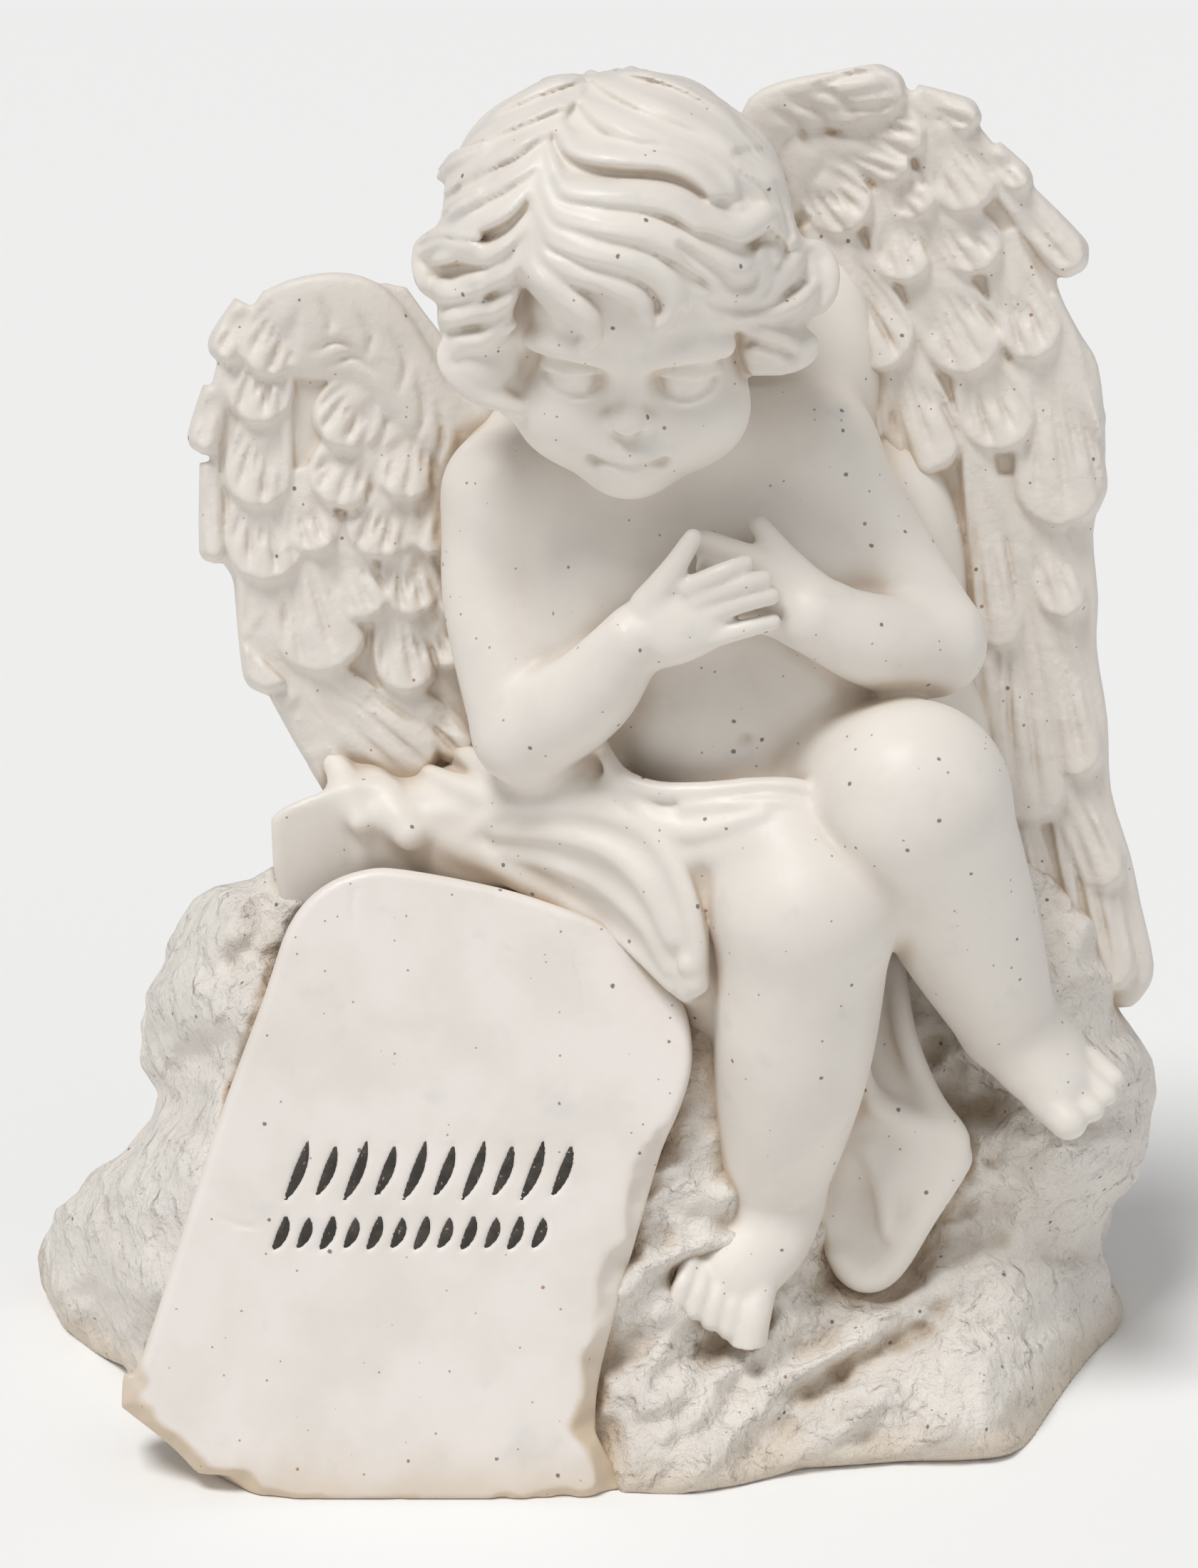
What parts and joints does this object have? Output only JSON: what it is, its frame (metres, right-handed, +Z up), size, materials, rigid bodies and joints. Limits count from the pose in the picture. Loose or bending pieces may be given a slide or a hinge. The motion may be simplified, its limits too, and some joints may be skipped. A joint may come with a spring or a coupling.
{
  "type": "memorial angel figurine",
  "caption": "Cast figurine of a seated winged child with hands folded on the chest, on a rough rock with a leaning memorial tablet in front.",
  "frame": {"origin": "centre of the bounding box at the flat underside", "axes": "+Z up; the figure and its tablet face -Y; +X is to the right of someone facing the front"},
  "size_m": [0.1314, 0.0744, 0.1499],
  "materials": {
    "cast_resin": "matt off-white cast polyresin with a fine stone powder, faintly speckled"
  },
  "bodies": {
    "root": {"angel_figurine": "cast_resin"}
  },
  "joints": []
}
